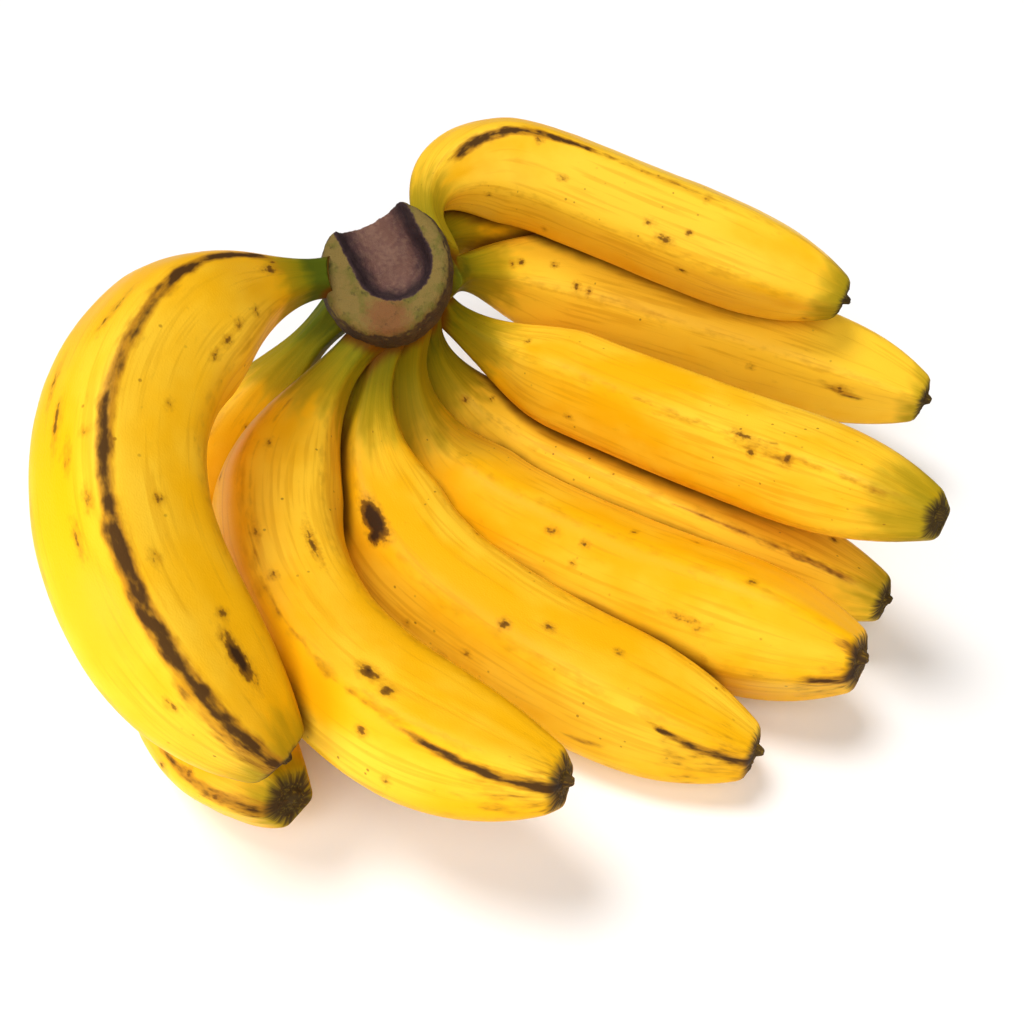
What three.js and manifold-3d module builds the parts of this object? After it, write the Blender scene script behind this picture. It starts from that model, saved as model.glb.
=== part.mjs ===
// A hand of ripe bananas, cut from its stalk and lying on its back, in millimetres, +Z up.
// The stalk it grew on ran level along X, over the fingers. Every finger leaves the crown outwards from
// that line and then bends along it, so all the tips point along +X. Four of the bellies rest on the table.

import * as THREE from "three";
import { mergeVertices } from "three/addons/utils/BufferGeometryUtils.js";
import Module from "manifold-3d";

const wasm = await Module();
wasm.setup();

// Driving dimensions

// The point on the old stalk's line that the fingers fan out from.
const HUB = new THREE.Vector3(-58.2, 10.8, 83);

// One row for each finger, going round the crown from the far side to the near side.
// fan: degrees round the stalk's line, 0 straight down, positive towards the near side
// set: where the neck leaves the crown, along the stalk's line
// root: degrees between the neck and the stalk's line
// bend: degrees that the finger turns from neck to tip
// hook: the share of that bend made early, over the first part of the length, which is knee
// long and wide: from the start of the neck to the end of the nib, and across the body
// lean: degrees that the finger is turned about its own neck
// roll: degrees that its ridges are turned about its own middle line
const FINGERS = [
  { fan: -105, set: 4, root: 137, bend: 126, hook: 1, knee: 0.47, long: 174, wide: 33, lean: 19, roll: 24 },
  { fan: -76, set: -5, root: 118, bend: 116, hook: 0.5, knee: 0.6, long: 188, wide: 31, lean: 12, roll: 20 },
  { fan: -63, set: 5, root: 109, bend: 104, hook: 0.65, knee: 0.45, long: 190, wide: 36, lean: 0, roll: 30 },
  { fan: -37, set: -1, root: 87, bend: 106, hook: 0.75, knee: 0.33, long: 188, wide: 32, lean: 1, roll: 40 },
  { fan: -17, set: 2, root: 98, bend: 105, hook: 0.88, knee: 0.48, long: 196, wide: 33, lean: 0, roll: 50 },
  { fan: 10, set: 2, root: 91, bend: 104, hook: 0.75, knee: 0.45, long: 193, wide: 40, lean: 1, roll: 56 },
  { fan: 43, set: 1, root: 84, bend: 90, hook: 0.65, knee: 0.55, long: 184, wide: 37, lean: -7, roll: 48 },
  { fan: 63, set: 5, root: 106, bend: 122, hook: 0.22, knee: 0.54, long: 189, wide: 35, lean: 4, roll: 60 },
  { fan: 45, set: -11, root: 119, bend: 125, hook: 0, knee: 0.42, long: 189, wide: 36, lean: 20, roll: 30 },
  { fan: 107, set: -5, root: 104, bend: 119, hook: 0.75, knee: 1, long: 184, wide: 39, lean: -42, roll: 12 },
];
// Every neck starts this far out from the stalk's line, inside the crown.
const START_RADIUS = 9;

// The long profile of a finger, in shares of how long and how wide it is.
const NECK = { flare: 0.4, thin: 0.3, ends: 0.1 };
const SHOULDER_ENDS = 0.36;
const TAPER = { starts: 0.69, power: 3, end: 0.38 };
const NIB = { starts: 0.985, thick: 0.14 };

// The section is a rounded pentagon: 0 would be round and 1 would have flat faces.
const FACE_FLATNESS = 0.45;
const SIDES = 20;
const STATIONS = [
  0, 0.035, 0.07, 0.1, 0.135, 0.17, 0.205, 0.24, 0.28, 0.32, 0.36, 0.42, 0.48, 0.54, 0.6, 0.66, 0.71, 0.76,
  0.805, 0.845, 0.88, 0.91, 0.935, 0.957, 0.973, NIB.starts, 0.988, 1,
];

// The clearance between neighbours, where they grew pressed together and against the crown.
const GAP = 0.3;
// The room kept free for the crown reaches this much above its face, so that no neck crosses the scoop.
const ROOM_ABOVE = 15;

// The crown, in its own frame: x to the right and y to the back of its cut face, z out of the face.
// Its outline is an ellipse of those half widths, spun in the face by the degrees in spin.
const CROWN = { x: -4.4, y: -3.6, z: 6, turn: 35, tilt: 41, spin: -7, wide: 18.2, deep: 20, sides: 36 };
const CROWN_RINGS = [
  { z: -19, size: 0.5 },
  { z: -12, size: 0.8 },
  { z: -4, size: 0.94 },
  { z: 2, size: 1 },
  { z: 6, size: 0.98 },
  { z: 9, size: 0.93 },
  { z: 10, size: 0.86 },
];
// The wall left where the stalk's side was, and the knife's scoop in the face, both as directions in degrees.
const BACK_WALL = { at: 15, direction: 119 };
const SCOOP = { x: 2.4, y: 1, z: 13, radius: 10.4, direction: 117, sides: 32 };

const PEEL = { color: 0xf2bb22, roughness: 0.45, metalness: 0 };
const CROWN_SKIN = { color: 0x6e5638, roughness: 0.85, metalness: 0 };

// Helpers

const radians = THREE.MathUtils.degToRad;
const smoothstep = THREE.MathUtils.smoothstep;

// A closed triangle mesh as a solid that can be cut.
function solidFrom(geometry) {
  const bare = geometry.index ? geometry.toNonIndexed() : geometry.clone();
  bare.deleteAttribute("normal");
  bare.deleteAttribute("uv");
  const merged = mergeVertices(bare, 1e-4);
  return new wasm.Manifold(
    new wasm.Mesh({
      numProp: 3,
      vertProperties: merged.attributes.position.array,
      triVerts: new Uint32Array(merged.index.array),
    }),
  );
}

// A cut solid as a mesh again.
function geometryFrom(solid) {
  const { vertProperties, triVerts } = solid.getMesh();
  const geometry = new THREE.BufferGeometry();
  geometry.setAttribute("position", new THREE.BufferAttribute(vertProperties, 3));
  geometry.setIndex(new THREE.BufferAttribute(triVerts, 1));
  geometry.computeVertexNormals();
  return geometry;
}

// A closed skin over rings of points that all have the same count, with both ends filled.
function skin(rings) {
  const points = rings.flat();
  const count = rings[0].length;
  const faces = [];
  for (let r = 0; r + 1 < rings.length; r++) {
    for (let i = 0; i < count; i++) {
      const a = r * count + i;
      const b = r * count + ((i + 1) % count);
      faces.push(a, b, a + count, b, b + count, a + count);
    }
  }
  for (const end of [0, rings.length - 1]) {
    const middle = rings[end].reduce((sum, p) => sum.add(p), new THREE.Vector3()).divideScalar(count);
    const centre = points.push(middle) - 1;
    for (let i = 0; i < count; i++) {
      const a = end * count + i;
      const b = end * count + ((i + 1) % count);
      faces.push(...(end === 0 ? [centre, b, a] : [centre, a, b]));
    }
  }
  const geometry = new THREE.BufferGeometry().setFromPoints(points);
  geometry.setIndex(faces);
  return geometry;
}

// The fingers

// How thick a finger is at a share s of its length, as a share of how wide it is.
function thickness(s) {
  if (s > NIB.starts) return NIB.thick;
  const root = NECK.flare + (NECK.thin - NECK.flare) * smoothstep(s, 0, NECK.ends);
  const body = root + (1 - root) * smoothstep(s, NECK.ends, SHOULDER_ENDS);
  const toTip = Math.max(0, (s - TAPER.starts) / (NIB.starts - TAPER.starts));
  return body * (1 - (1 - TAPER.end) * toTip ** TAPER.power);
}

// The distance of a rounded pentagon's edge from its middle, where its corners are 1 away.
function pentagon(angle) {
  const face = (2 * Math.PI) / 5;
  const fromFace = (((angle % face) + face) % face) - face / 2;
  const flat = Math.cos(face / 2) / Math.cos(fromFace);
  return 1 + FACE_FLATNESS * (flat - 1);
}

// The share of a finger's bend that is made by the share s of its length.
function bendMade({ hook, knee }, s) {
  const even = (smoothstep(s, 0.02, 1) + s) / 2;
  return (1 - hook) * even + hook * smoothstep(s, 0.04, knee);
}

// Points along a finger's middle line, each with the direction there and the two directions across it.
function middleLine(finger) {
  const fan = radians(finger.fan);
  const outward = new THREE.Vector3(0, -Math.sin(fan), -Math.cos(fan));
  const along = new THREE.Vector3(1, 0, 0);
  const side = new THREE.Vector3().crossVectors(along, outward);
  const root = radians(finger.root);
  const neck = along.clone().multiplyScalar(Math.cos(root)).addScaledVector(outward, Math.sin(root));
  const start = HUB.clone().addScaledVector(outward, START_RADIUS).addScaledVector(along, finger.set);
  const steps = 200;
  const line = [];
  const point = start.clone();
  for (let i = 0; i <= steps; i++) {
    const angle = root - radians(finger.bend) * bendMade(finger, i / steps);
    const forward = along.clone().multiplyScalar(Math.cos(angle)).addScaledVector(outward, Math.sin(angle));
    const belly = new THREE.Vector3().crossVectors(side, forward);
    const frame = [forward, belly, side.clone()].map((v) => v.applyAxisAngle(neck, radians(finger.lean)));
    if (i > 0) point.addScaledVector(frame[0], finger.long / steps);
    line.push({ point: point.clone(), forward: frame[0], belly: frame[1], side: frame[2] });
  }
  return (s) => line[Math.round(s * steps)];
}

// One finger, with its radius made larger by grow.
function fingerSkin(finger, grow) {
  const lineAt = middleLine(finger);
  const rings = STATIONS.map((s) => {
    const { point, belly, side } = lineAt(s);
    return Array.from({ length: SIDES }, (_, i) => {
      const angle = (i / SIDES) * 2 * Math.PI;
      const across = (finger.wide / 2) * thickness(s) * pentagon(angle - radians(finger.roll)) + grow;
      return point
        .clone()
        .addScaledVector(belly, across * Math.cos(angle))
        .addScaledVector(side, across * Math.sin(angle));
    });
  });
  return skin(rings);
}

// The crown

const FACE_NORMAL = new THREE.Vector3(0, 0, 1);

// The crown's cushion in its own frame, made larger by grow, with the stalk's side and the scoop cut away.
// Made larger, it is the room that the crown needs, and has no scoop.
function crownSolid(grow) {
  const rings = CROWN_RINGS.map(({ z, size }, r) =>
    Array.from({ length: CROWN.sides }, (_, i) => {
      const angle = (i / CROWN.sides) * 2 * Math.PI;
      const lift = grow === 0 || r < CROWN_RINGS.length - 1 ? 0 : ROOM_ABOVE;
      const x = (CROWN.wide * size + grow) * Math.cos(angle);
      const y = (CROWN.deep * size + grow) * Math.sin(angle);
      const point = new THREE.Vector3(x, y, z + lift - (r === 0 ? grow : 0));
      return point.applyAxisAngle(FACE_NORMAL, radians(CROWN.spin));
    }),
  );
  const reach = 60;
  const wall = new THREE.BoxGeometry(reach, reach, reach)
    .translate(BACK_WALL.at + grow + reach / 2, 0, 0)
    .rotateZ(radians(BACK_WALL.direction));
  const cushion = solidFrom(skin(rings)).subtract(solidFrom(wall));
  if (grow > 0) return cushion;
  const ball = new THREE.SphereGeometry(SCOOP.radius, SCOOP.sides, SCOOP.sides / 2);
  const trough = new THREE.CylinderGeometry(SCOOP.radius, SCOOP.radius, reach, SCOOP.sides)
    .translate(0, reach / 2, 0)
    .rotateZ(radians(SCOOP.direction - 90));
  const scoop = solidFrom(ball).add(solidFrom(trough)).translate([SCOOP.x, SCOOP.y, SCOOP.z]);
  return cushion.subtract(scoop);
}

// The crown where it sits on the hand.
function crownInPlace(grow) {
  const turn = new THREE.Matrix4().makeRotationZ(radians(CROWN.turn));
  const tilt = new THREE.Matrix4().makeRotationX(radians(CROWN.tilt));
  const place = new THREE.Matrix4().makeTranslation(CROWN.x, CROWN.y, CROWN.z);
  const matrix = new THREE.Matrix4().setPosition(HUB).multiply(turn).multiply(tilt).multiply(place);
  return geometryFrom(crownSolid(grow)).applyMatrix4(matrix);
}

// The hand

const hand = new THREE.Group();

function addPart(name, geometry, look) {
  const mesh = new THREE.Mesh(geometry, new THREE.MeshStandardMaterial(look));
  mesh.name = name;
  hand.add(mesh);
}

addPart("crown", crownInPlace(0), CROWN_SKIN);

const crownRoom = solidFrom(crownInPlace(GAP));
const table = solidFrom(new THREE.BoxGeometry(1000, 1000, 100).translate(0, 0, -50));
const placed = [];
FINGERS.forEach((finger, i) => {
  let fruit = solidFrom(fingerSkin(finger, 0)).subtract(crownRoom).subtract(table);
  for (const neighbour of placed) fruit = fruit.subtract(neighbour);
  placed.push(solidFrom(fingerSkin(finger, GAP)));
  addPart(`finger_${i + 1}`, geometryFrom(fruit), PEEL);
});

export default hand;
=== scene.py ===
"""A hand of ripe bananas, cut from its stalk and lying on its back with the tips to one side."""

import math

import bpy
import numpy as np
from mathutils import Matrix, Quaternion, Vector
from mathutils.bvhtree import BVHTree


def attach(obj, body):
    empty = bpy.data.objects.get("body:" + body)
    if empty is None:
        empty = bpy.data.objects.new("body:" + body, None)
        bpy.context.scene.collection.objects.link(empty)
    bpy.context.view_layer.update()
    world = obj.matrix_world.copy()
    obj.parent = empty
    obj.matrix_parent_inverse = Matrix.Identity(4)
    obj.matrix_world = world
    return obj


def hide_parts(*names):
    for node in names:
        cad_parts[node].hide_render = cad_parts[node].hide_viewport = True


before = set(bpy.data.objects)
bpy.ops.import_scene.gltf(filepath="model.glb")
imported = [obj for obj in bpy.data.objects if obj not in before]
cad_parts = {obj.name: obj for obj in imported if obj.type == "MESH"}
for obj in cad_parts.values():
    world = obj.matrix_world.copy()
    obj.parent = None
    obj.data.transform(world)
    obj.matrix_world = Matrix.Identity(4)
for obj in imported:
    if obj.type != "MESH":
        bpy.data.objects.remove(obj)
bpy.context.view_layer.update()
scene = bpy.context.scene

# Crown
# The cushion of stalk that all the necks grew out of, cut free with a knife: an olive collar round a scoop
# that opens through the wall behind. The cut has dried to dull brown fibres; painted shade darkens the scoop
# nearly to black at its rim, and painted light makes it lighter deeper in.
MM = 0.001

# The point on the old stalk's line that the fingers fan out from, and how the cut is set on it.
HUB = Vector((-58.2, 10.8, 83.0)) * MM
TURN = math.radians(35)
TILT = math.radians(41)
FROM_HUB = Vector((-4.4, -3.6, 6.0)) * MM
CROWN_PLACE = (
    Matrix.Translation(HUB)
    @ Matrix.Rotation(TURN, 4, "Z")
    @ Matrix.Rotation(TILT, 4, "X")
    @ Matrix.Translation(FROM_HUB)
)

# In the crown's own frame, in mm: x to the right and y to the back of the cut, z out of it. The outline is
# an ellipse, spun a little, with its size at each height as a share of its half widths.
HALF_WIDE = 18.2
HALF_DEEP = 20.0
SPIN = math.radians(-7)
HEIGHTS = (-19, -12, -4, 2, 6, 9, 10)
SIZES = (0.5, 0.8, 0.94, 1.0, 0.98, 0.93, 0.86)

# The side that the stalk left and the knife's scoop, both with a direction in the plane of the cut.
WALL = dict(at=15, direction=math.radians(119))
SCOOP = dict(middle=np.array((2.4, 1.0, 13.0)), radius=10.4, direction=math.radians(117))
VOXEL = 0.45 * MM

# How far in mm the necks reach into the crown below its face, at its face and at its wall, and between
# which heights the first changes to the second.
NECKS_REACH_IN = 2.2
NECKS_REACH_IN_AT_FACE = 0.9
NECKS_REACH_IN_AT_WALL = 1
FACE_HEIGHTS = (3, 6)

# The last ring stands just above the face, or far above it where no neck may cross the scoop.
FACE_EDGE = 0.01
ROOM_ABOVE = 15

# The rings are finer than the dried relief, and the blocks that cut are longer than the crown.
CUSHION_RINGS = 40
CUSHION_SIDES = 96
SCOOP_RINGS = 24
SCOOP_SIDES = 72
CUT_REACH = 60


def ringed(name, rings):
    """An object with a closed skin over rings of points in mm, with both ends filled."""
    count = len(rings[0])
    points = [tuple(p) for ring in rings for p in ring]
    faces = []
    for r in range(len(rings) - 1):
        for i in range(count):
            a, b = r * count + i, r * count + (i + 1) % count
            faces.append((a, b, b + count, a + count))
    faces += [tuple(reversed(range(count))), tuple(range(len(points) - count, len(points)))]
    mesh = bpy.data.meshes.new(name)
    mesh.from_pydata((np.array(points) * MM).tolist(), [], faces)
    piece = bpy.data.objects.new(name, mesh)
    scene.collection.objects.link(piece)
    return piece


def cushion(name, grow, grow_at_face, above):
    """The crown before it was cut, made larger by some mm, at its face by others, with the face raised."""
    heights = np.linspace(HEIGHTS[0], HEIGHTS[-1], CUSHION_RINGS)
    around = np.linspace(0, 2 * math.pi, CUSHION_SIDES, endpoint=False)
    rings = []
    for height, size in zip(heights, np.interp(heights, HEIGHTS, SIZES)):
        more = np.interp(height, FACE_HEIGHTS, (grow, grow_at_face))
        x = (HALF_WIDE * size + more) * np.cos(around)
        y = (HALF_DEEP * size + more) * np.sin(around)
        turned = (x * math.cos(SPIN) - y * math.sin(SPIN), x * math.sin(SPIN) + y * math.cos(SPIN))
        rings.append(np.stack([*turned, np.full_like(x, height)], axis=1))
    rings.append(rings[-1] + (0, 0, above))
    return ringed(name, rings)


def stalk_side(name, at):
    """A block beyond the cut that the stalk's side left, at mm from the crown's middle."""
    way = np.array((math.cos(WALL["direction"]), math.sin(WALL["direction"]), 0))
    left = np.array((-way[1], way[0], 0))
    up = np.array((0, 0, 1))
    near = [at * way + CUT_REACH * (a * left + b * up) for a, b in ((1, 1), (-1, 1), (-1, -1), (1, -1))]
    return ringed(name, [near, [corner + CUT_REACH * way for corner in near]])


def knife_scoop(name):
    """A round-nosed trough that runs out over the stalk's side."""
    way = np.array((math.cos(SCOOP["direction"]), math.sin(SCOOP["direction"]), 0))
    left = np.array((-way[1], way[0], 0))
    up = np.array((0, 0, 1))
    around = np.linspace(0, 2 * math.pi, SCOOP_SIDES, endpoint=False)
    outline = np.outer(np.cos(around), left) + np.outer(np.sin(around), up)
    nose = [(-math.cos(t), math.sin(t)) for t in np.linspace(0.03, math.pi / 2, SCOOP_RINGS)]
    rings = [SCOOP["middle"] + SCOOP["radius"] * (b * outline + a * way) for a, b in nose]
    rings.append(rings[-1] + CUT_REACH * way)
    return ringed(name, rings)


def carved(piece, cutters):
    """Takes the cutters out of a piece, one by one, and leaves them for more use."""
    for cutter in cutters:
        cut = piece.modifiers.new("cut", "BOOLEAN")
        cut.operation = "DIFFERENCE"
        cut.solver = "EXACT"
        cut.material_mode = "INDEX"
        cut.object = cutter
    return piece


def plain(piece, name):
    """The mesh that a piece's modifiers leave, as a plain object in the piece's stead."""
    made = bpy.data.meshes.new_from_object(piece.evaluated_get(bpy.context.evaluated_depsgraph_get()))
    bpy.data.objects.remove(piece)
    kept = bpy.data.objects.new(name, made)
    scene.collection.objects.link(kept)
    return kept


def add(tree, kind, inputs=None, **settings):
    """Adds a node, with its settings, and its inputs as links or values by number or name."""
    node = tree.nodes.new(kind)
    for name, value in settings.items():
        setattr(node, name, value)
    for key, value in (inputs or {}).items():
        if isinstance(value, bpy.types.Node):
            value = next(o for o in value.outputs if o.enabled)
        if isinstance(value, bpy.types.NodeSocket):
            tree.links.new(value, node.inputs[key])
        else:
            node.inputs[key].default_value = value
    return node


def linear(hex_colour):
    """An sRGB hex colour as the linear colour that the shaders work in."""
    values = [int(hex_colour[i : i + 2], 16) / 255 for i in (1, 3, 5)]
    return (*[v / 12.92 if v <= 0.04045 else ((v + 0.055) / 1.055) ** 2.4 for v in values], 1)


def dried_cut():
    """Roughens a cut, dried surface with lumps, and with fibres that run along a direction."""
    tree = bpy.data.node_groups.new("dried_cut", "GeometryNodeTree")
    plan = tree.interface
    plan.new_socket("Cut stalk", in_out="INPUT", socket_type="NodeSocketGeometry")
    for name, kind in [
        ("Lump height", "NodeSocketFloat"),
        ("Lump size", "NodeSocketFloat"),
        ("Fibre height", "NodeSocketFloat"),
        ("Fibre width", "NodeSocketFloat"),
        ("Fibre turn", "NodeSocketVector"),
        ("Material", "NodeSocketMaterial"),
    ]:
        plan.new_socket(name, in_out="INPUT", socket_type=kind)
    plan.new_socket("Dry stalk", in_out="OUTPUT", socket_type="NodeSocketGeometry")
    asked = add(tree, "NodeGroupInput").outputs
    here = add(tree, "GeometryNodeInputPosition")
    lump_pitch = add(tree, "ShaderNodeMath", {0: 1.0, 1: asked["Lump size"]}, operation="DIVIDE")
    lumps = add(tree, "ShaderNodeTexNoise", {"Vector": here, "Scale": lump_pitch, "Detail": 3})
    lump = add(tree, "ShaderNodeMath", {0: lumps.outputs[0], 1: 0.5}, operation="SUBTRACT")
    lump_up = add(tree, "ShaderNodeMath", {0: lump, 1: asked["Lump height"]}, operation="MULTIPLY")
    turned = add(
        tree,
        "ShaderNodeVectorRotate",
        {"Vector": here, "Rotation": asked["Fibre turn"]},
        rotation_type="EULER_XYZ",
        invert=True,
    )
    # Fibres are about eight times as long as they are wide.
    drawn_out = add(tree, "ShaderNodeVectorMath", {0: turned, 1: (0.12, 1, 1)}, operation="MULTIPLY")
    fibre_pitch = add(tree, "ShaderNodeMath", {0: 1.0, 1: asked["Fibre width"]}, operation="DIVIDE")
    fibres = add(tree, "ShaderNodeTexNoise", {"Vector": drawn_out, "Scale": fibre_pitch, "Detail": 2})
    fibre = add(tree, "ShaderNodeMath", {0: fibres.outputs[0], 1: 0.5}, operation="SUBTRACT")
    fibre_up = add(tree, "ShaderNodeMath", {0: fibre, 1: asked["Fibre height"]}, operation="MULTIPLY")
    both = add(tree, "ShaderNodeMath", {0: lump_up, 1: fibre_up}, operation="ADD")
    normal = add(tree, "GeometryNodeInputNormal")
    lift = add(tree, "ShaderNodeVectorMath", {0: normal, "Scale": both}, operation="SCALE")
    rough = add(tree, "GeometryNodeSetPosition", {"Geometry": asked["Cut stalk"], "Offset": lift})
    smooth = add(tree, "GeometryNodeSetShadeSmooth", {0: rough})
    real = add(tree, "GeometryNodeRealizeInstances", {0: smooth})
    finished = add(tree, "GeometryNodeSetMaterial", {"Geometry": real, "Material": asked["Material"]})
    add(tree, "NodeGroupOutput", {0: finished})
    return tree


def set_inputs(modifier, sizes):
    """Sets the inputs of a tree's modifier by their names."""
    for socket in modifier.node_group.interface.items_tree:
        if socket.in_out == "INPUT" and socket.name in sizes:
            modifier[socket.identifier] = sizes[socket.name]


def keep(mesh, name, values):
    """Keeps one value, or one vector, for each point of a mesh."""
    values = np.asarray(values, dtype=np.float32)
    kind, field = ("FLOAT", "value") if values.ndim == 1 else ("FLOAT_VECTOR", "vector")
    mesh.attributes.new(name, kind, "POINT").data.foreach_set(field, values.ravel())


def points_of(mesh):
    """The points of a mesh in mm."""
    flat = np.empty(len(mesh.vertices) * 3, dtype=np.float32)
    mesh.vertices.foreach_get("co", flat)
    return flat.reshape(-1, 3) / MM


# Where the collar is reddest, in the crown's own frame.
RED_PATCH = (1, -14, 9)


def cut_stalk():
    """Dried cut stalk, dull and fibrous: an olive collar and a pinkish brown scoop, with painted shade
    almost black at the scoop's rim and painted light deeper in.
    """
    material = bpy.data.materials.new("dried_cut_stalk")
    material.use_nodes = True
    tree = material.node_tree
    skin = tree.nodes["Principled BSDF"]
    place = add(tree, "ShaderNodeAttribute", attribute_name="in_crown").outputs["Vector"]
    height = add(tree, "ShaderNodeSeparateXYZ", {0: place}).outputs["Z"]
    off_scoop = add(tree, "ShaderNodeAttribute", attribute_name="off_scoop").outputs["Fac"]
    faces_out = add(tree, "ShaderNodeAttribute", attribute_name="faces_out").outputs["Fac"]
    from_red = add(tree, "ShaderNodeVectorMath", {0: place, 1: RED_PATCH}, operation="DISTANCE")

    # Noises in mm, each with the size of its blotches.
    grain = {}
    for name, size, detail in [("blotch", 4.5, 3), ("fleck", 1.4, 4), ("fine", 0.35, 2)]:
        scaled = add(tree, "ShaderNodeVectorMath", {0: place, "Scale": 1 / size}, operation="SCALE")
        noise = add(tree, "ShaderNodeTexNoise", {"Vector": scaled, "Scale": 1.0, "Detail": detail})
        grain[name] = noise.outputs[0]

    # Covers from 0 to 1: a value, a noise and its share, and where their sum starts and ends.
    covers = {}
    for name, value, noise, share, low, high in [
        ("light", grain["blotch"], "fleck", 0.6, 0.7, 1.0),
        # painted light: the scoop is lighter deeper in
        ("tongue_light", height, "blotch", 6.0, 9.0, 4.0),
        ("collar", faces_out, "fleck", 0.5, 0.55, 0.95),
        ("olive", grain["blotch"], "fleck", 0.2, 0.55, 0.75),
        ("red", from_red.outputs["Value"], "fleck", 6.0, 11.0, 6.0),
        ("scoop", off_scoop, "fleck", 1.2, 1.5, 0.9),
        ("fibre", grain["fleck"], "blotch", 1.0, 0.85, 1.3),
        ("spot", grain["fleck"], "blotch", 0.5, 0.84, 0.98),
        # painted shade: the scoop darkens towards its rim
        ("dark", height, "blotch", 3.0, 4.6, 8.6),
        ("neck", height, "blotch", 4.0, -3.0, -8.0),
    ]:
        parts = {0: grain[noise], 1: share, 2: value}
        total = add(tree, "ShaderNodeMath", parts, operation="MULTIPLY_ADD")
        steps = {0: total, 1: low, 2: high}
        covers[name] = add(tree, "ShaderNodeMapRange", steps, interpolation_type="SMOOTHSTEP").outputs[0]

    colour = linear("#3E2F22")
    for hex_colour, most, *names in [
        ("#5A482C", 0.6, "light"),
        ("#806A34", 1.0, "collar"),
        ("#5E5E1C", 0.65, "collar", "olive"),
        ("#7E452A", 0.65, "collar", "red"),
        ("#3A2A1A", 0.5, "collar", "spot"),
        ("#5E3F3C", 1.0, "scoop"),
        # painted light deeper in the scoop
        ("#7A5646", 0.8, "scoop", "tongue_light"),
        ("#94705A", 0.5, "scoop", "fibre"),
        # painted shade, nearly black, at the scoop's rim
        ("#20141A", 0.85, "scoop", "dark"),
        ("#6A6410", 0.9, "neck"),
    ]:
        cover = most
        for name in names:
            cover = add(tree, "ShaderNodeMath", {0: covers[name], 1: cover}, operation="MULTIPLY")
        colour = add(tree, "ShaderNodeMix", {0: cover, 6: colour, 7: linear(hex_colour)}, data_type="RGBA")
    tree.links.new(colour.outputs[2], skin.inputs["Base Color"])
    skin.inputs["Roughness"].default_value = 0.8
    skin.inputs["Specular IOR Level"].default_value = 0.25
    coarse_and_fine = {0: grain["fleck"], 1: 0.7, 2: grain["fine"]}
    heights = add(tree, "ShaderNodeMath", coarse_and_fine, operation="MULTIPLY_ADD")
    bump = add(tree, "ShaderNodeBump", {"Height": heights, "Strength": 0.6, "Distance": 0.4 * MM})
    tree.links.new(bump.outputs[0], skin.inputs["Normal"])
    return material


tools = [stalk_side("stalk_side", WALL["at"]), knife_scoop("knife_scoop")]
blank = carved(cushion("blank", 0, 0, FACE_EDGE), tools)
remesh = blank.modifiers.new("even", "REMESH")
remesh.mode = "VOXEL"
remesh.voxel_size = VOXEL
soften = blank.modifiers.new("soften", "SMOOTH")
soften.factor = 0.5
soften.iterations = 8
relief = blank.modifiers.new("relief", "NODES")
relief.node_group = dried_cut()
set_inputs(
    relief,
    {
        "Lump height": 1.3 * MM,
        "Lump size": 4 * MM,
        "Fibre height": 0.5 * MM,
        "Fibre width": 0.9 * MM,
        "Fibre turn": (0, 0, SCOOP["direction"]),
        "Material": cut_stalk(),
    },
)
crown = plain(blank, "cut_crown")
in_crown = points_of(crown.data)
from_nose = in_crown - SCOOP["middle"]
way = np.array((math.cos(SCOOP["direction"]), math.sin(SCOOP["direction"]), 0))
behind = np.maximum(from_nose @ way, 0)
keep(crown.data, "off_scoop", np.linalg.norm(from_nose - np.outer(behind, way), axis=1) - SCOOP["radius"])
facing = np.empty((len(in_crown), 3), dtype=np.float32)
crown.data.vertex_normals.foreach_get("vector", facing.ravel())
keep(crown.data, "in_crown", in_crown)
keep(crown.data, "faces_out", facing[:, 2])
crown.data.transform(CROWN_PLACE)
for tool in tools:
    bpy.data.objects.remove(tool)
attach(crown, "root")
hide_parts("crown")

# The room that the crown fills inside the necks.
inner_room = cushion("inner_room", -NECKS_REACH_IN, -NECKS_REACH_IN_AT_FACE, ROOM_ABOVE)
carved(inner_room, [stalk_side("inner_side", WALL["at"] - NECKS_REACH_IN_AT_WALL)])
crown_room = plain(inner_room, "crown_room")
bpy.data.objects.remove(bpy.data.objects["inner_side"])
crown_room.data.transform(CROWN_PLACE)

# Fingers
# Ten bananas that grew side by side round one stalk, so each neck leaves the hub outwards and then bends
# along the stalk's line, +X. Each is one fruit: a tapering body with five rounded ridges under a waxy peel,
# a thinner neck that is still green, and a blunt end with the dried scar of the flower.
START_RADIUS = 9

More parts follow.
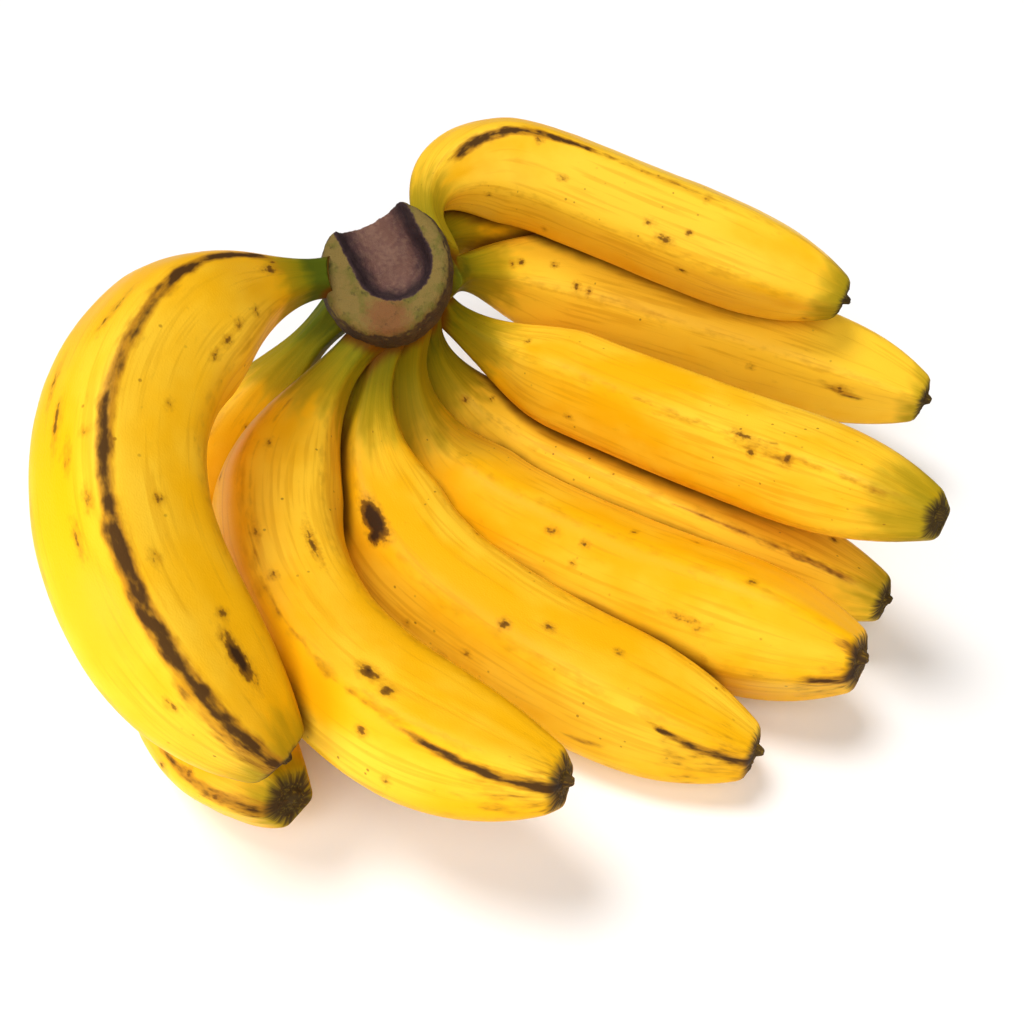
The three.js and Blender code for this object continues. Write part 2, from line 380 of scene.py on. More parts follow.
# fan: degrees round the stalk's line, 0 straight down, positive towards the near side
# set: where the neck leaves the crown, in mm along the stalk's line
# root, bend: degrees between the neck and that line, and how far the finger turns from neck to tip
# hook, knee: the share of that turn made early, and the share of the length by which it is made
# long, wide: mm from the start of the neck to the end of the nub, and across the body
# lean, roll: degrees that the finger is turned about its neck, and its ridges about its middle line
FINGERS = [
    dict(fan=-105, set=4, root=137, bend=126, hook=1, knee=0.47, long=174, wide=33, lean=19, roll=24),
    dict(fan=-76, set=-5, root=118, bend=116, hook=0.5, knee=0.6, long=188, wide=31, lean=12, roll=20),
    dict(fan=-63, set=5, root=109, bend=104, hook=0.65, knee=0.45, long=190, wide=36, lean=0, roll=30),
    dict(fan=-37, set=-1, root=87, bend=106, hook=0.75, knee=0.33, long=188, wide=32, lean=1, roll=40),
    dict(fan=-17, set=2, root=98, bend=105, hook=0.88, knee=0.48, long=196, wide=33, lean=0, roll=50),
    dict(fan=10, set=2, root=91, bend=104, hook=0.75, knee=0.45, long=193, wide=40, lean=1, roll=56),
    dict(fan=43, set=1, root=84, bend=90, hook=0.65, knee=0.55, long=184, wide=37, lean=-7, roll=48),
    dict(fan=63, set=5, root=106, bend=122, hook=0.22, knee=0.54, long=189, wide=35, lean=4, roll=60),
    dict(fan=45, set=-11, root=119, bend=125, hook=0, knee=0.42, long=189, wide=36, lean=20, roll=30),
    dict(fan=107, set=-5, root=104, bend=119, hook=0.75, knee=1, long=184, wide=39, lean=-42, roll=12),
]

# The long profile, in shares of how long and how wide the finger is.
NECK = dict(flare=0.4, thin=0.3, ends=0.1)
SHOULDER_ENDS = 0.36
TAPER = dict(starts=0.69, power=3, end=0.38)
BLUNT_END = 0.985
BEND_STARTS = 0.02
HOOK_STARTS = 0.04

# The ridges are this many times as strong at the neck and at the end, and grow over these shares.
RIDGES_STRONGER = 1.7
RIDGES_NEAR_NECK = (0.1, 0.35)
RIDGES_NEAR_END = (0.7, 1.0)

# The edge of the blunt end is rounded over this many mm.
END_ROUNDING = 2.2

# How finely a finger is drawn along, round, over its ends and on its middle line.
STATIONS = 260
SIDES = 100
END_RINGS = 16
LINE_POINTS = 1001

# The flower's scar, in shares of the end's radius: where its nub stands and how wide it is, top and foot.
# The scar's rough dish lies lower, by a share of its roughness.
NUB_MIDDLE = (-0.22, 0.1, 0)
NUB_TOP = 0.18
NUB_FOOT = 0.48
SCAR_SINK = 0.62


def smoothstep(value, low, high):
    """From 0 to 1 as a value goes from low to high, rounded at both."""
    t = np.clip((value - low) / (high - low), 0, 1)
    return t * t * (3 - 2 * t)


def thickness(s):
    """How thick a finger is at the shares s of its length, as a share of how wide it is."""
    root = NECK["flare"] + (NECK["thin"] - NECK["flare"]) * smoothstep(s, 0, NECK["ends"])
    body = root + (1 - root) * smoothstep(s, NECK["ends"], SHOULDER_ENDS)
    to_tip = np.clip((s - TAPER["starts"]) / (BLUNT_END - TAPER["starts"]), 0, 1)
    return body * (1 - (1 - TAPER["end"]) * to_tip ** TAPER["power"])


def middle_line(finger, s):
    """Points in mm on the middle line at the shares s of its length, and the direction across its bend."""
    fan, root, bend = (math.radians(finger[k]) for k in ("fan", "root", "bend"))
    along = Vector((1, 0, 0))
    outward = Vector((0, -math.sin(fan), -math.cos(fan)))
    neck = along * math.cos(root) + outward * math.sin(root)
    lean = Quaternion(neck, math.radians(finger["lean"]))
    fine = np.linspace(0, 1, LINE_POINTS)
    even = (smoothstep(fine, BEND_STARTS, 1) + fine) / 2
    made = (1 - finger["hook"]) * even + finger["hook"] * smoothstep(fine, HOOK_STARTS, finger["knee"])
    angle = root - bend * made
    steps = np.outer(np.cos(angle), lean @ along) + np.outer(np.sin(angle), lean @ outward)
    steps *= finger["long"] / (len(fine) - 1)
    steps[0] = HUB / MM + outward * START_RADIUS + along * finger["set"]
    whole = np.cumsum(steps, axis=0)
    points = np.stack([np.interp(s, fine, whole[:, axis]) for axis in range(3)], axis=1)
    return points, lean @ along.cross(outward)


def line_mesh(name, points, radii):
    """A mesh of edges through points in mm, which keeps how thick the finger is at each."""
    mesh = bpy.data.meshes.new(name)
    mesh.from_pydata((points * MM).tolist(), [(i, i + 1) for i in range(len(points) - 1)], [])
    keep(mesh, "radius_here", radii * MM)
    return mesh


def skin_tree():
    """Sweeps a ridged, closed skin along a middle line. Every size is in metres."""
    tree = bpy.data.node_groups.new("ridged_skin", "GeometryNodeTree")
    plan = tree.interface
    plan.new_socket("Middle line", in_out="INPUT", socket_type="NodeSocketGeometry")
    for name, kind in [
        ("Across the bend", "NodeSocketVector"),
        ("Stations", "NodeSocketInt"),
        ("Sides", "NodeSocketInt"),
        ("Ridges", "NodeSocketInt"),
        ("Ridge turn", "NodeSocketFloat"),
        ("Ridge height", "NodeSocketFloat"),
        ("Ridge sharpness", "NodeSocketFloat"),
        ("Swell height", "NodeSocketFloat"),
        ("Swell size", "NodeSocketFloat"),
        ("Nub height", "NodeSocketFloat"),
        ("Scar roughness", "NodeSocketFloat"),
        ("Scar grain", "NodeSocketFloat"),
        ("Seed", "NodeSocketFloat"),
        ("Table", "NodeSocketFloat"),
        ("Material", "NodeSocketMaterial"),
    ]:
        plan.new_socket(name, in_out="INPUT", socket_type=kind)
    plan.new_socket("Skin", in_out="OUTPUT", socket_type="NodeSocketGeometry")
    asked = add(tree, "NodeGroupInput").outputs

    # A plain tube: its height is the share of the length, and its direction is the place round the finger.
    tube = add(
        tree,
        "GeometryNodeMeshCylinder",
        {
            "Vertices": asked["Sides"],
            "Side Segments": asked["Stations"],
            "Fill Segments": END_RINGS,
            "Depth": 1,
        },
        fill_type="TRIANGLE_FAN",
    )
    here = add(tree, "GeometryNodeInputPosition")
    place = add(tree, "ShaderNodeSeparateXYZ", {0: here}).outputs
    share = add(tree, "ShaderNodeMath", {0: place["Z"], 1: 0.5}, operation="ADD")
    angle = add(tree, "ShaderNodeMath", {0: place["Y"], 1: place["X"]}, operation="ARCTAN2")

    # What the line holds here.
    line = add(tree, "GeometryNodeMeshToCurve", {0: asked["Middle line"]})
    thick = add(tree, "GeometryNodeInputNamedAttribute", {"Name": "radius_here"}, data_type="FLOAT")
    found = {"Curves": line, "Value": thick.outputs["Attribute"], "Factor": share}
    at_line = add(tree, "GeometryNodeSampleCurve", found, use_all_curves=True).outputs

    # Ridges, rounded on top, and stronger towards the neck and the end.
    turned = add(tree, "ShaderNodeMath", {0: angle, 1: asked["Ridge turn"]}, operation="SUBTRACT")
    phase = add(tree, "ShaderNodeMath", {0: turned, 1: asked["Ridges"]}, operation="MULTIPLY")
    wave = add(tree, "ShaderNodeMath", {0: phase}, operation="COSINE")
    lifted = add(tree, "ShaderNodeMath", {0: wave, 1: 0.5, 2: 0.5}, operation="MULTIPLY_ADD")
    ridge = add(tree, "ShaderNodeMath", {0: lifted, 1: asked["Ridge sharpness"]}, operation="POWER")
    growing = {0: share, 1: RIDGES_NEAR_END[0], 2: RIDGES_NEAR_END[1], 3: 1, 4: RIDGES_STRONGER}
    near_end = add(tree, "ShaderNodeMapRange", growing)
    fading = {0: share, 1: RIDGES_NEAR_NECK[0], 2: RIDGES_NEAR_NECK[1], 3: RIDGES_STRONGER, 4: 1}
    near_neck = add(tree, "ShaderNodeMapRange", fading)
    stronger = add(tree, "ShaderNodeMath", {0: near_end, 1: near_neck}, operation="MULTIPLY")
    height = add(tree, "ShaderNodeMath", {0: stronger, 1: asked["Ridge height"]}, operation="MULTIPLY")
    below = add(tree, "ShaderNodeMath", {0: ridge, 1: 1}, operation="SUBTRACT")
    hollow = add(tree, "ShaderNodeMath", {0: below, 1: height, 2: 1}, operation="MULTIPLY_ADD")
    radius = add(tree, "ShaderNodeMath", {0: hollow, 1: at_line["Value"]}, operation="MULTIPLY")

    # The section stands square on the line.
    across = asked["Across the bend"]
    belly = add(tree, "ShaderNodeVectorMath", {0: across, 1: at_line["Tangent"]}, operation="CROSS_PRODUCT")
    to_belly = add(tree, "ShaderNodeVectorMath", {0: belly, "Scale": place["X"]}, operation="SCALE")
    to_side = add(tree, "ShaderNodeVectorMath", {0: across, "Scale": place["Y"]}, operation="SCALE")
    out = add(tree, "ShaderNodeVectorMath", {0: to_belly, 1: to_side}, operation="ADD")
    reach = add(tree, "ShaderNodeVectorMath", {0: out, "Scale": radius}, operation="SCALE")
    ridged = add(tree, "ShaderNodeVectorMath", {0: reach, 1: at_line["Position"]}, operation="ADD")

    # Slow swells, so that no two bananas have the same outline.
    pitch = add(tree, "ShaderNodeMath", {0: 1.0, 1: asked["Swell size"]}, operation="DIVIDE")
    noise = add(
        tree,
        "ShaderNodeTexNoise",
        {"Vector": ridged, "W": asked["Seed"], "Scale": pitch, "Detail": 2},
        noise_dimensions="4D",
    )
    centred = add(tree, "ShaderNodeMath", {0: noise.outputs[0], 1: 0.5}, operation="SUBTRACT")
    swell = add(tree, "ShaderNodeMath", {0: centred, 1: asked["Swell height"]}, operation="MULTIPLY")
    swelling = add(tree, "ShaderNodeVectorMath", {0: out, "Scale": swell}, operation="SCALE")
    swollen = add(tree, "ShaderNodeVectorMath", {0: ridged, 1: swelling}, operation="ADD")

    # The blunt end, the tube's top: a rough dish with the flower's dried nub in it, a little off its middle.
    on_end = add(tree, "ShaderNodeMath", {0: place["Z"], 1: 0.4999}, operation="GREATER_THAN")
    flat_place = add(tree, "ShaderNodeCombineXYZ", {0: place["X"], 1: place["Y"]})
    from_nub = add(tree, "ShaderNodeVectorMath", {0: flat_place, 1: NUB_MIDDLE}, operation="DISTANCE")
    nub_sides = {0: from_nub.outputs["Value"], 1: NUB_TOP, 2: NUB_FOOT, 3: 1, 4: 0}
    nub = add(tree, "ShaderNodeMapRange", nub_sides, interpolation_type="SMOOTHSTEP")
    nub_up = add(tree, "ShaderNodeMath", {0: nub, 1: asked["Nub height"]}, operation="MULTIPLY")
    grain_pitch = add(tree, "ShaderNodeMath", {0: 1.0, 1: asked["Scar grain"]}, operation="DIVIDE")
    grain = add(
        tree,
        "ShaderNodeTexNoise",
        {"Vector": ridged, "W": asked["Seed"], "Scale": grain_pitch, "Detail": 3},
        noise_dimensions="4D",
    )
    grain_up = add(tree, "ShaderNodeMath", {0: grain.outputs[0], 1: SCAR_SINK}, operation="SUBTRACT")
    rough = add(tree, "ShaderNodeMath", {0: grain_up, 1: asked["Scar roughness"]}, operation="MULTIPLY")
    scar = add(tree, "ShaderNodeMath", {0: nub_up, 1: rough}, operation="ADD")
    scar_here = add(tree, "ShaderNodeMath", {0: scar, 1: on_end}, operation="MULTIPLY")
    outwards = {0: at_line["Tangent"], "Scale": scar_here}
    scarred = add(tree, "ShaderNodeVectorMath", outwards, operation="SCALE")
    ended = add(tree, "ShaderNodeVectorMath", {0: swollen, 1: scarred}, operation="ADD")

    # The belly gives a little where it rests on the table.
    final = add(tree, "ShaderNodeSeparateXYZ", {0: ended}).outputs
    rests = add(tree, "ShaderNodeMath", {0: final["Z"], 1: asked["Table"]}, operation="MAXIMUM")
    at_rest = add(tree, "ShaderNodeCombineXYZ", {0: final["X"], 1: final["Y"], 2: rests})

    # What the peel's colours need to know is kept on the skin.
    round_it = add(tree, "ShaderNodeCombineXYZ", {0: place["X"], 1: place["Y"], 2: share})
    mesh = tube.outputs["Mesh"]
    for label, kind, value in [("ridge", "FLOAT", ridge), ("round_it", "FLOAT_VECTOR", round_it)]:
        kept = {"Geometry": mesh, "Name": label, "Value": value}
        store = add(tree, "GeometryNodeStoreNamedAttribute", kept, data_type=kind, domain="POINT")
        mesh = store.outputs[0]
    shaped = add(tree, "GeometryNodeSetPosition", {"Geometry": mesh, "Position": at_rest})
    smooth = add(tree, "GeometryNodeSetShadeSmooth", {0: shaped})
    real = add(tree, "GeometryNodeRealizeInstances", {0: smooth})
    finished = add(tree, "GeometryNodeSetMaterial", {"Geometry": real, "Material": asked["Material"]})
    add(tree, "NodeGroupOutput", {0: finished})
    return tree


# How far the green reaches from each end of each finger, in mm, and how strong it is there. The first mm
# of each neck are fully green, and every neck is greener than its number says.
NECK_GREEN_STARTS = 12
NECK_GREENER = 1.25
GREEN = [
    dict(neck=(36, 0.55), end=(18, 0.75)),
    dict(neck=(56, 0.85), end=(26, 0.6)),
    dict(neck=(50, 0.75), end=(14, 0.6)),
    dict(neck=(52, 0.75), end=(34, 0.62)),
    dict(neck=(60, 0.75), end=(22, 0.5)),
    dict(neck=(56, 0.65), end=(6, 0.2)),
    dict(neck=(52, 0.7), end=(6, 0.2)),
    dict(neck=(52, 0.75), end=(10, 0.25)),
    dict(neck=(50, 0.8), end=(18, 0.6)),
    dict(neck=(38, 1.0), end=(22, 0.6)),
]

# Rubbed ridges that have dried brown, by finger: from and to, in mm along and degrees round it, the width
# at both ends in mm, and how dark.
RUBBED = {
    1: [((38, 108), (86, 95), (4, 2), 0.95), ((86, 95), (130, 97), (1.5, 1), 0.4)],
    2: [((60, 92), (120, 94), (1.5, 2), 0.35)],
    3: [
        ((70, 100), (150, 104), (1.5, 2), 0.3),
        ((120, 240), (178, 250), (1, 2), 0.5),
        ((156, 190), (168, 196), (4, 5), 0.42),
    ],
    4: [((90, 184), (176, 186), (1, 2), 0.3), ((128, 183), (150, 190), (4, 5), 0.33)],
    5: [((130, 194), (186, 196), (1, 2.5), 0.5)],
    6: [
        ((180, 275), (192, 279), (1.2, 6), 0.8),
        ((184, 214), (192, 216), (1, 6), 0.6),
        ((176, 300), (193, 300), (12, 30), 0.27),
    ],
    7: [
        ((157, 271), (184, 290), (1.2, 4), 0.9),
        ((136, 318), (146, 314), (1.5, 2), 0.6),
        ((160, 300), (184, 300), (12, 30), 0.27),
    ],
    8: [
        ((40, 262), (156, 280), (0.8, 1.5), 0.35),
        ((154, 280), (188, 300), (1.5, 3.5), 0.95),
        ((168, 310), (188, 310), (12, 30), 0.27),
    ],
    9: [((60, 246), (150, 250), (2, 1), 0.4), ((150, 300), (186, 310), (1, 6), 0.6)],
    10: [
        ((36, 298), (72, 296), (2.5, 3), 1.0),
        ((70, 296), (122, 300), (3, 3.5), 0.85),
        ((120, 300), (182, 306), (4.5, 3), 1.0),
        ((150, 310), (183, 320), (3, 8), 0.45),
    ],
}

# A band fades in and out over this many mm before and after its ends.
FADES_IN = (5, 5)
FADES_OUT = (3, 5)

# Bruises, by finger: mm along and degrees round it, then how long and how wide in mm.
BRUISES = {
    1: [(69, 107, 2, 1.5), (81, 138, 2, 1.5), (110, 147, 2, 1.5), (116, 157, 4, 2), (122, 142, 1.5, 1.5)],
    3: [(43, 142, 2, 2), (56, 147, 2, 1.5), (67, 167, 3, 2), (73, 170, 2, 2), (163, 193, 2.5, 2)],
    4: [(133, 180, 5, 1.5), (137, 193, 2, 2), (148, 187, 2, 2)],
    5: [(175, 141, 2, 1.5), (150, 160, 1.5, 1.5)],
    6: [(103, 217, 3, 1.5), (114, 216, 2, 1.5), (113, 235, 1.5, 1.5), (149, 243, 6, 1.2), (162, 195, 2, 2)],
    7: [(66, 261, 14, 5.5), (70, 268, 5, 4), (113, 253, 3, 2.5), (123, 235, 3, 2), (142, 225, 2, 1.5)],
    8: [(94, 223, 10, 1.8), (101, 264, 2, 1.5), (139, 257, 6, 3), (146, 261, 3.5, 2.5), (145, 298, 2.5, 2)],
    9: [(165, 300, 2, 2), (174, 308, 2, 1.5), (92, 262, 3, 2)],
    10: [
        (53, 240, 2, 1.5),
        (62, 243, 2.5, 1.5),
        (69, 240, 3, 2),
        (75, 241, 3, 1.5),
        (38, 275, 5, 2),
        (119, 268, 2.5, 2),
        (131, 283, 2.5, 1.5),
        (147, 257, 2.5, 2),
        (157, 265, 13, 4),
        (92, 352, 5, 1.2),
        (101, 338, 6, 1.5),
        (108, 326, 3, 1.2),
        (117, 312, 3, 1.5),
        (123, 326, 4, 1.2),
        (75, 321, 4, 1),
        (80, 324, 3, 1),
    ],
}

# Smaller ones that every finger has, anywhere on it, with their sizes in mm.
SMALL_BRUISES = dict(count=8, along=(30, 170), long=(0.8, 2.2), wide=(0.7, 1.6))
chance = np.random.default_rng(11)

# Painted light: how much paler some fingers are painted than the others, as if more light fell on them.
PAINTED_LIGHT = {1: 0.15, 3: 0.3, 5: 0.35}

# How far apart the smallest specks lie, in mm.
SPECK_SPACING = 4.5

# The peel's patterns lie on a round finger of this radius in mm, and the next finger's start further on.
PATTERN_RADIUS = 17
PATTERN_STEP = 400


def mm_round(finger, along, angle, degrees):
    """The distance in mm round the finger from each point, at its own angle, to a line at some degrees."""
    off = np.radians(degrees) - angle
    off = np.arctan2(np.sin(off), np.cos(off))
    return off * finger["wide"] / 2 * thickness(along / finger["long"])


# The depth in mm that stands for no bruise near.
FAR_OUTSIDE = -8.0


def bruised(finger, along, angle, marks):
    """How deep each point is inside a bruise, in mm, and below zero outside all of them."""
    depth = np.full_like(along, FAR_OUTSIDE)
    for middle, degrees, long, wide in marks:
        off = mm_round(finger, along, angle, degrees)
        away = np.hypot((along - middle) / (long / 2), off / (wide / 2))
        depth = np.maximum(depth, (1 - away) * min(long, wide) / 2)
    return depth


def rubbed(finger, along, angle, bands):
    """How much the skin has dried brown along the rubbed bands, from 0 to 1."""
    dried = np.zeros_like(along)
    for (start, start_angle), (end, end_angle), widths, dark in bands:
        way = np.clip((along - start) / (end - start), 0, 1)
        off = mm_round(finger, along, angle, start_angle + (end_angle - start_angle) * way)
        spread = np.interp(way, (0, 1), widths) / 2
        fades = smoothstep(along, start - FADES_IN[0], start + FADES_IN[1])
        fades *= 1 - smoothstep(along, end - FADES_OUT[0], end + FADES_OUT[1])
        dried = np.maximum(dried, dark * fades * np.exp(-((off / spread) ** 2)))
    return dried


def ripe_peel():
    """A waxy yellow peel that is greener towards its ends, with dried ridges, bruises and specks, painted
    shade where fingers lie close and painted light on some fingers.
    """
    material = bpy.data.materials.new("ripe_banana_peel")
    material.use_nodes = True
    tree = material.node_tree
    skin = tree.nodes["Principled BSDF"]
    stored = {}
    for name in ("on_skin", "green", "ridge", "dried", "bruise", "to_end", "painted_light", "pressed"):
        stored[name] = add(tree, "ShaderNodeAttribute", attribute_name=name).outputs
    place = stored["on_skin"]["Vector"]

    # Noises over the skin in mm, each with how far one blotch reaches round and along the finger.
    grain = {}
    for name, reach, detail in [
        ("tone", (20, 20, 45), 1),
        ("streak", (1.3, 1.3, 26), 2),
        ("blotch", (6, 6, 10), 2),
        ("edge", (1.1, 1.1, 1.6), 2),
        ("break", (2.2, 2.2, 5), 3),
        ("pore", (0.35, 0.35, 0.5), 0),
    ]:
        scaled = {0: place, 1: tuple(1 / mm for mm in reach)}
        stretched = add(tree, "ShaderNodeVectorMath", scaled, operation="MULTIPLY")
        noise = add(tree, "ShaderNodeTexNoise", {"Vector": stretched, "Scale": 1.0, "Detail": detail})
        grain[name] = noise.outputs[0]
    cells = add(tree, "ShaderNodeVectorMath", {0: place, "Scale": 1 / SPECK_SPACING}, operation="SCALE")
    speck = add(tree, "ShaderNodeTexVoronoi", {"Vector": cells, "Scale": 1.0, "Randomness": 1.0})

    # The random tone, plus painted light that makes some fingers paler.
    tone_and_painted_light = add(tree, "ShaderNodeMath", {0: grain["tone"], 1: stored["painted_light"]["Fac"]}, operation="ADD")

    # Sums of what is stored and of noise, each turned into a cover from 0 to 1.
    covers = {}
    for name, first, second, share, low, high in [
        ("pale", tone_and_painted_light, grain["blotch"], 0.3, 0.5, 0.85),
        ("worn", stored["ridge"]["Fac"], grain["break"], 0.9, 1.35, 1.6),
        ("deep", grain["streak"], grain["tone"], 0.5, 0.75, 0.95),
        ("lime", stored["green"]["Fac"], grain["blotch"], 0.5, 0.42, 0.85),
        ("green", stored["green"]["Fac"], grain["streak"], 0.35, 0.62, 1.1),
        ("leaf", stored["green"]["Fac"], grain["blotch"], 0.3, 0.95, 1.2),
        ("tan", stored["dried"]["Fac"], grain["break"], 0.8, 0.5, 0.95),
        ("brown", stored["dried"]["Fac"], grain["break"], 1.6, 1.2, 1.7),
        ("halo", stored["bruise"]["Fac"], grain["edge"], 2.4, -0.2, 1.6),
        ("bruise", stored["bruise"]["Fac"], grain["edge"], 2.2, 0.95, 1.6),
        ("core", stored["bruise"]["Fac"], grain["edge"], 1.0, 0.9, 1.8),
        # painted shade in the creases where fingers lie close, with the darker peel where they press
        ("pressed", stored["pressed"]["Fac"], grain["blotch"], 0.3, 0.6, 1.1),
        ("scar", stored["to_end"]["Fac"], grain["break"], 3.0, 3.4, 1.4),
    ]:
        total = add(tree, "ShaderNodeMath", {0: second, 1: share, 2: first}, operation="MULTIPLY_ADD")
        steps = {0: total, 1: low, 2: high}
        covers[name] = add(tree, "ShaderNodeMapRange", steps, interpolation_type="SMOOTHSTEP").outputs[0]
    near = add(tree, "ShaderNodeMapRange", {0: speck.outputs["Distance"], 1: 0.11, 2: 0.06}).outputs[0]
    some = add(tree, "ShaderNodeMapRange", {0: grain["tone"], 1: 0.5, 2: 0.62}).outputs[0]
    covers["speck"] = add(tree, "ShaderNodeMath", {0: near, 1: some}, operation="MULTIPLY").outputs[0]

    colour = linear("#F6B40A")
    for hex_colour, name, most in [
        # paler where the random tone is light, and on some fingers with painted light
        ("#FFCC34", "pale", 0.85),
        ("#D99608", "deep", 0.4),
        ("#BE8210", "worn", 0.3),
        ("#A08608", "lime", 0.85),
        ("#7E7A08", "green", 0.85),
        ("#48560A", "leaf", 0.9),
        ("#8A5410", "speck", 0.7),
        ("#A8690E", "tan", 0.75),
        ("#38210F", "brown", 0.92),
        ("#B9790F", "halo", 0.55),
        ("#68400F", "bruise", 0.85),
        ("#35200F", "core", 0.95),
        # painted shade in the creases where fingers lie close, with the darker peel where they press
        ("#6E3A08", "pressed", 0.85),
        ("#35261A", "scar", 0.95),
    ]:
        cover = add(tree, "ShaderNodeMath", {0: covers[name], 1: most}, operation="MULTIPLY")
        colour = add(tree, "ShaderNodeMix", {0: cover, 6: colour, 7: linear(hex_colour)}, data_type="RGBA")
    tree.links.new(colour.outputs[2], skin.inputs["Base Color"])

    # Wax makes the skin satin, and what has dried is dull and a little sunk.
    dull = add(tree, "ShaderNodeMath", {0: covers["brown"], 1: covers["bruise"]}, operation="MAXIMUM")
    duller = add(tree, "ShaderNodeMath", {0: dull, 1: covers["scar"]}, operation="MAXIMUM")
    varied = add(tree, "ShaderNodeMapRange", {0: grain["blotch"], 3: 0.34, 4: 0.5})
    on_neck = add(tree, "ShaderNodeMath", {0: covers["lime"], 1: 0.22, 2: varied}, operation="MULTIPLY_ADD")
    rough = add(tree, "ShaderNodeMath", {0: duller, 1: 0.3, 2: on_neck}, operation="MULTIPLY_ADD")
    tree.links.new(rough.outputs[0], skin.inputs["Roughness"])
    streaks_and_pores = {0: grain["streak"], 1: 0.6, 2: grain["pore"]}
    heights = add(tree, "ShaderNodeMath", streaks_and_pores, operation="MULTIPLY_ADD")
    sunk = add(tree, "ShaderNodeMath", {0: duller, 1: -0.9, 2: heights}, operation="MULTIPLY_ADD")
    bump = add(tree, "ShaderNodeBump", {"Height": sunk, "Strength": 0.35, "Distance": 0.12 * MM})
    tree.links.new(bump.outputs[0], skin.inputs["Normal"])
    skin.inputs["Specular IOR Level"].default_value = 0.1
    return material


peel = ripe_peel()
ridged_skin = skin_tree()
bananas = []
for number, finger in enumerate(FINGERS, start=1):
    shares = np.linspace(0.0, BLUNT_END, STATIONS + 1)
    points, across_bend = middle_line(finger, shares)
    to_end = finger["long"] * (BLUNT_END - shares)
    radii = finger["wide"] / 2 * thickness(shares)
    rounding = np.clip(END_ROUNDING - to_end, 0, END_ROUNDING)
    radii -= END_ROUNDING - np.sqrt(END_ROUNDING**2 - rounding**2)
    sizes = {
        "Across the bend": across_bend,
        "Stations": STATIONS,
        "Sides": SIDES,
        "Ridges": 5,
        "Ridge turn": math.radians(finger["roll"]),
        "Ridge height": 0.075,
        "Ridge sharpness": 1.7,
        "Swell height": 1.0 * MM,
        "Swell size": 30 * MM,
        "Nub height": 1.9 * MM,
        "Scar roughness": 1.6 * MM,
        "Scar grain": 1.6 * MM,
        "Seed": 10.0 * number,
        "Table": 0.0,
        "Material": peel,
    }
    line = line_mesh(f"middle_line_{number}", points, radii)
    start = bpy.data.objects.new(f"middle_line_{number}", line)
    scene.collection.objects.link(start)
    grow = start.modifiers.new("grow", "NODES")
    grow.node_group = ridged_skin
    set_inputs(grow, sizes)
    banana = plain(carved(start, [crown_room]), f"banana_{number}")
    banana.data.materials.clear()
    banana.data.materials.append(peel)
    banana.data.polygons.foreach_set("material_index", np.zeros(len(banana.data.polygons), dtype=np.int32))

    round_it = np.empty((len(banana.data.vertices), 3), dtype=np.float32)
    banana.data.attributes["round_it"].data.foreach_get("vector", round_it.ravel())
    body_end = finger["long"] * BLUNT_END
    along = round_it[:, 2] * body_end
    angle = np.arctan2(round_it[:, 1], round_it[:, 0])
    reach, strong = GREEN[number - 1]["neck"]
    green = strong * NECK_GREENER * (1 - smoothstep(along, NECK_GREEN_STARTS, reach + NECK_GREEN_STARTS))
    reach, strong = GREEN[number - 1]["end"]
    green += strong * smoothstep(along, body_end - reach, finger["long"])
    ranges = [SMALL_BRUISES["along"], (0, 360), SMALL_BRUISES["long"], SMALL_BRUISES["wide"]]
    small = [tuple(chance.uniform(*span) for span in ranges) for _ in range(SMALL_BRUISES["count"])]
    marks = BRUISES.get(number, []) + small
    x, y = PATTERN_RADIUS * round_it[:, 0], PATTERN_RADIUS * round_it[:, 1]
    keep(banana.data, "on_skin", np.stack([x, y, along + PATTERN_STEP * number], axis=1))
    keep(banana.data, "to_end", body_end - along)
    keep(banana.data, "painted_light", np.full_like(along, PAINTED_LIGHT.get(number, 0)))
    keep(banana.data, "green", green)
    keep(banana.data, "dried", rubbed(finger, along, angle, RUBBED.get(number, [])))
    keep(banana.data, "bruise", bruised(finger, along, angle, marks))
    bananas.append(banana)
    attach(banana, "root")
    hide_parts(f"finger_{number}")

bpy.data.objects.remove(crown_room)

# Where fingers lie against each other or the crown, the peel is painted darker brown, fading over this many
# mm:
# painted shade in the creases between them, with the darker peel where they press.
PRESSED_SHADE_REACH = 7
neighbours = [crown, *bananas]
skins = [BVHTree.FromObject(piece, bpy.context.evaluated_depsgraph_get()) for piece in neighbours]
for banana in bananas:
    here = points_of(banana.data)
    pressed = np.zeros(len(here))
    for other, skin in zip(neighbours, skins):
        there = points_of(other.data)
        low, high = there.min(axis=0) - PRESSED_SHADE_REACH, there.max(axis=0) + PRESSED_SHADE_REACH
        near = np.flatnonzero(np.all((here > low) & (here < high), axis=1)) if other is not banana else ()
        for point in near:
            gap = skin.find_nearest(Vector(here[point]) * MM, PRESSED_SHADE_REACH * MM)[3]
            if gap is not None:
                pressed[point] = max(pressed[point], 1 - gap / MM / PRESSED_SHADE_REACH)
    keep(banana.data, "pressed", pressed)

# Floor
# A plain white sheet, large enough to fill the view.
floor_half = 3.0
floor_mesh = bpy.data.meshes.new("floor")
corners = [(-floor_half, -floor_half, 0), (floor_half, -floor_half, 0), (floor_half, floor_half, 0)]
corners.append((-floor_half, floor_half, 0))
floor_mesh.from_pydata(corners, [], [(0, 1, 2, 3)])
floor = bpy.data.objects.new("floor", floor_mesh)
scene.collection.objects.link(floor)
paper = bpy.data.materials.new("white_paper")
paper.use_nodes = True
paper.node_tree.nodes["Principled BSDF"].inputs["Base Color"].default_value = linear("#FBFAF9")
paper.node_tree.nodes["Principled BSDF"].inputs["Roughness"].default_value = 0.9
floor_mesh.materials.append(paper)

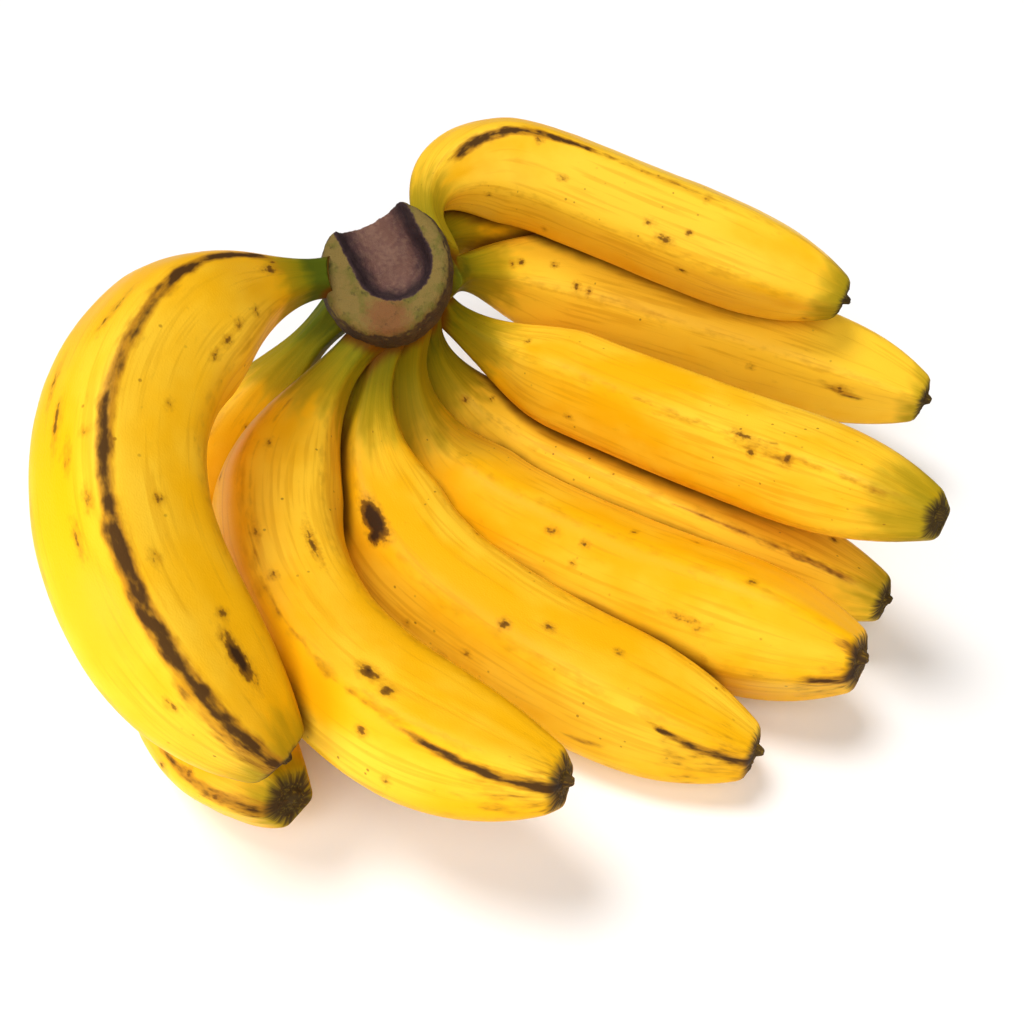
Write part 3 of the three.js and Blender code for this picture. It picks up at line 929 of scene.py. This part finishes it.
# Light
# A white room with a broad light from above and a little from the left, a softer one from the viewer's
# side, and a small lamp close to the nearest banana, on its left.
world = bpy.data.worlds.new("white_room")
scene.world = world
world.use_nodes = True
world.node_tree.nodes["Background"].inputs["Color"].default_value = (1, 1, 1, 1)
world.node_tree.nodes["Background"].inputs["Strength"].default_value = 0.2


def far_light(name, towards, strength, spread):
    """A far light that shines towards a direction, with soft shadows from its spread in degrees."""
    light = bpy.data.lights.new(name, "SUN")
    light.energy = strength
    light.angle = math.radians(spread)
    holder = bpy.data.objects.new(name, light)
    holder.rotation_mode = "QUATERNION"
    holder.rotation_quaternion = Vector(towards).to_track_quat("-Z", "Y")
    scene.collection.objects.link(holder)


far_light("window_above", (0.28, 0.14, -1.0), 1.75, 24)
far_light("room_in_front", (-0.45, 0.6, -0.7), 1.65, 50)

LAMP_PLACE = Vector((-0.09, -0.31, 0.12))
LAMP_TOWARDS = Vector((0.25, 0.95, -0.2))
lamp = bpy.data.lights.new("near_lamp", "AREA")
lamp.size = 0.1
lamp.energy = 0.26
near_lamp = bpy.data.objects.new("near_lamp", lamp)
near_lamp.location = LAMP_PLACE
near_lamp.rotation_mode = "QUATERNION"
near_lamp.rotation_quaternion = LAMP_TOWARDS.to_track_quat("-Z", "Y")
scene.collection.objects.link(near_lamp)

# Camera
# It looks down at the hand from beyond the tips and to one side, level across the picture. The hub shows
# at a known pixel and distance.
AZIMUTH = math.radians(35)
ELEVATION = math.radians(42)
PICTURE = 1024
FOCAL_PIXELS = 1200
HUB_PIXEL = (406, 272)
HUB_DEPTH = 336 * MM
ahead = Vector((-math.sin(AZIMUTH), math.cos(AZIMUTH), -math.tan(ELEVATION))).normalized()
rightwards = Vector((math.cos(AZIMUTH), math.sin(AZIMUTH), 0))
upwards = rightwards.cross(ahead)
hub_right = HUB_DEPTH * (HUB_PIXEL[0] - PICTURE / 2) / FOCAL_PIXELS
hub_up = HUB_DEPTH * (PICTURE / 2 - HUB_PIXEL[1]) / FOCAL_PIXELS
lens = bpy.data.cameras.new("camera")
lens.lens = lens.sensor_width * FOCAL_PIXELS / PICTURE
camera = bpy.data.objects.new("camera", lens)
camera.location = HUB - ahead * HUB_DEPTH - rightwards * hub_right - upwards * hub_up
camera.rotation_mode = "QUATERNION"
camera.rotation_quaternion = ahead.to_track_quat("-Z", "Y")
scene.collection.objects.link(camera)
scene.camera = camera
scene.view_settings.view_transform = "Standard"
